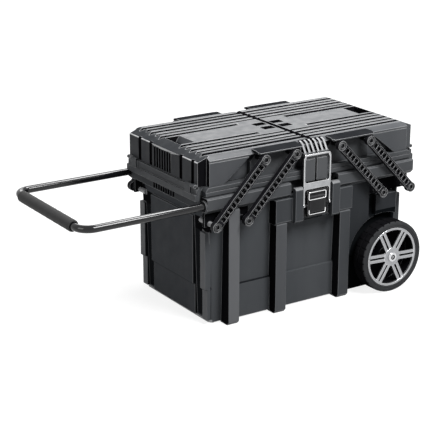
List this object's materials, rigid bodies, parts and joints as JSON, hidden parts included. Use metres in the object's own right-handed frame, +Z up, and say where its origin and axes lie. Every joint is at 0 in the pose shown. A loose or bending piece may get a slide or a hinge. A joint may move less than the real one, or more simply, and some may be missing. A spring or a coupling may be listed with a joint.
{
  "type": "wheeled tool box",
  "caption": "Wheeled cantilever tool box: a deep tub, swing-out trays on ladder arms under hinged lids, a front toggle latch and a sliding pull handle.",
  "frame": {"origin": "on the floor, at the middle of the box under the gap between the lids; the pull handle is outside this middle", "axes": "+X along the box towards the wheel end, away from the pull handle; -Y towards the latch side; +Z up"},
  "size_m": [0.9574, 0.436, 0.418],
  "materials": {
    "tub_plastic": "satin moulded",
    "rail_plastic": "satin moulded",
    "tray_plastic": "satin moulded",
    "lid_plastic": "fine grain",
    "catch_plastic": "satin moulded",
    "divider_plastic": "satin moulded",
    "arm_plastic": "satin moulded",
    "pin_steel": "bright zinc",
    "tyre_rubber": "matte",
    "wheel_core_plastic": "satin moulded",
    "wheel_trim_silver": "silver paint",
    "hub_cap_plastic": "silver paint",
    "handle_paint": "gloss black",
    "grip_foam": "closed foam",
    "plug_plastic": "satin moulded",
    "latch_pad_plastic": "satin moulded",
    "latch_steel": "bright zinc"
  },
  "bodies": {
    "cart": {"tub": "tub_plastic", "axle": "pin_steel", "latch_base": "latch_steel", "latch_pin": "pin_steel", "left_front_rail": "rail_plastic", "left_front_inner_lower_pin": "pin_steel", "left_front_outer_lower_pin": "pin_steel", "left_rear_rail": "rail_plastic", "left_rear_inner_lower_pin": "pin_steel", "left_rear_outer_lower_pin": "pin_steel", "right_front_rail": "rail_plastic", "right_front_inner_lower_pin": "pin_steel", "right_front_outer_lower_pin": "pin_steel", "right_rear_rail": "rail_plastic", "right_rear_inner_lower_pin": "pin_steel", "right_rear_outer_lower_pin": "pin_steel"},
    "pull_handle": {"handle_tube": "handle_paint", "handle_grip": "grip_foam", "front_handle_plug": "plug_plastic", "rear_handle_plug": "plug_plastic"},
    "front_wheel": {"front_tyre": "tyre_rubber", "front_wheel_core": "wheel_core_plastic", "front_wheel_trim": "wheel_trim_silver", "front_hub_cap": "hub_cap_plastic"},
    "rear_wheel": {"rear_tyre": "tyre_rubber", "rear_wheel_core": "wheel_core_plastic", "rear_wheel_trim": "wheel_trim_silver", "rear_hub_cap": "hub_cap_plastic"},
    "left_outer_arms": {"left_front_outer_arm": "arm_plastic", "left_rear_outer_arm": "arm_plastic"},
    "left_inner_arms": {"left_front_inner_arm": "arm_plastic", "left_rear_inner_arm": "arm_plastic"},
    "left_tray_half": {"left_tray": "tray_plastic", "left_divider": "divider_plastic", "left_front_hinge_pin": "pin_steel", "left_front_inner_upper_pin": "pin_steel", "left_front_outer_upper_pin": "pin_steel", "left_rear_hinge_pin": "pin_steel", "left_rear_inner_upper_pin": "pin_steel", "left_rear_outer_upper_pin": "pin_steel"},
    "left_lid_half": {"left_lid": "lid_plastic", "left_catch": "catch_plastic"},
    "right_outer_arms": {"right_front_outer_arm": "arm_plastic", "right_rear_outer_arm": "arm_plastic"},
    "right_inner_arms": {"right_front_inner_arm": "arm_plastic", "right_rear_inner_arm": "arm_plastic"},
    "right_tray_half": {"right_tray": "tray_plastic", "right_divider": "divider_plastic", "right_front_hinge_pin": "pin_steel", "right_front_inner_upper_pin": "pin_steel", "right_front_outer_upper_pin": "pin_steel", "right_rear_hinge_pin": "pin_steel", "right_rear_inner_upper_pin": "pin_steel", "right_rear_outer_upper_pin": "pin_steel"},
    "right_lid_half": {"right_lid": "lid_plastic", "right_catch": "catch_plastic"},
    "lever": {"latch_lever": "latch_steel", "latch_pad": "latch_pad_plastic"},
    "bail": {"latch_bail": "latch_steel"}
  },
  "joints": [
    {"name": "pull_handle_slide", "type": "slide", "parent": "cart", "child": "pull_handle", "axis": [1, 0, 0], "range_m": [0, 0.227]},
    {"name": "front_wheel_spin", "type": "hinge", "parent": "cart", "child": "front_wheel", "pos_m": [0.221, -0.1925, 0.092], "axis": [0, 1, 0], "continuous": true},
    {"name": "rear_wheel_spin", "type": "hinge", "parent": "cart", "child": "rear_wheel", "pos_m": [0.221, 0.1925, 0.092], "axis": [0, 1, 0], "continuous": true},
    {"name": "left_arm_swing", "type": "hinge", "parent": "cart", "child": "left_outer_arms", "pos_m": [-0.2876, 0, 0.259], "axis": [0, -1, 0], "range_deg": [0, 70]},
    {"name": "left_inner_arm_swing", "type": "hinge", "parent": "cart", "child": "left_inner_arms", "pos_m": [-0.2004, 0, 0.259], "axis": [0, -1, 0], "range_deg": [0, 70]},
    {"name": "left_tray_level", "type": "hinge", "parent": "left_outer_arms", "child": "left_tray_half", "pos_m": [-0.1544, 0, 0.398], "axis": [0, -1, 0], "range_deg": [-70, 0]},
    {"name": "left_lid_open", "type": "hinge", "parent": "left_tray_half", "child": "left_lid_half", "pos_m": [-0.32, 0, 0.35], "axis": [0, -1, 0], "range_deg": [0, 95]},
    {"name": "right_arm_swing", "type": "hinge", "parent": "cart", "child": "right_outer_arms", "pos_m": [0.2876, 0, 0.259], "axis": [0, 1, 0], "range_deg": [0, 70]},
    {"name": "right_inner_arm_swing", "type": "hinge", "parent": "cart", "child": "right_inner_arms", "pos_m": [0.2004, 0, 0.259], "axis": [0, 1, 0], "range_deg": [0, 70]},
    {"name": "right_tray_level", "type": "hinge", "parent": "right_outer_arms", "child": "right_tray_half", "pos_m": [0.1544, 0, 0.398], "axis": [0, 1, 0], "range_deg": [-70, 0]},
    {"name": "right_lid_open", "type": "hinge", "parent": "right_tray_half", "child": "right_lid_half", "pos_m": [0.32, 0, 0.35], "axis": [0, 1, 0], "range_deg": [0, 95]},
    {"name": "lever_swing", "type": "hinge", "parent": "cart", "child": "lever", "pos_m": [0, -0.1862, 0.296], "axis": [-1, 0, 0], "range_deg": [0, 150]},
    {"name": "bail_swing", "type": "hinge", "parent": "lever", "child": "bail", "pos_m": [0, -0.1874, 0.264], "axis": [1, 0, 0], "range_deg": [0, 180]}
  ],
  "couplings": [
    {"joint": "left_inner_arm_swing", "follows": "left_arm_swing", "ratio": 1},
    {"joint": "left_tray_level", "follows": "left_arm_swing", "ratio": -1},
    {"joint": "right_inner_arm_swing", "follows": "right_arm_swing", "ratio": 1},
    {"joint": "right_tray_level", "follows": "right_arm_swing", "ratio": -1},
    {"joint": "bail_swing", "follows": "lever_swing", "ratio": 1.2}
  ]
}
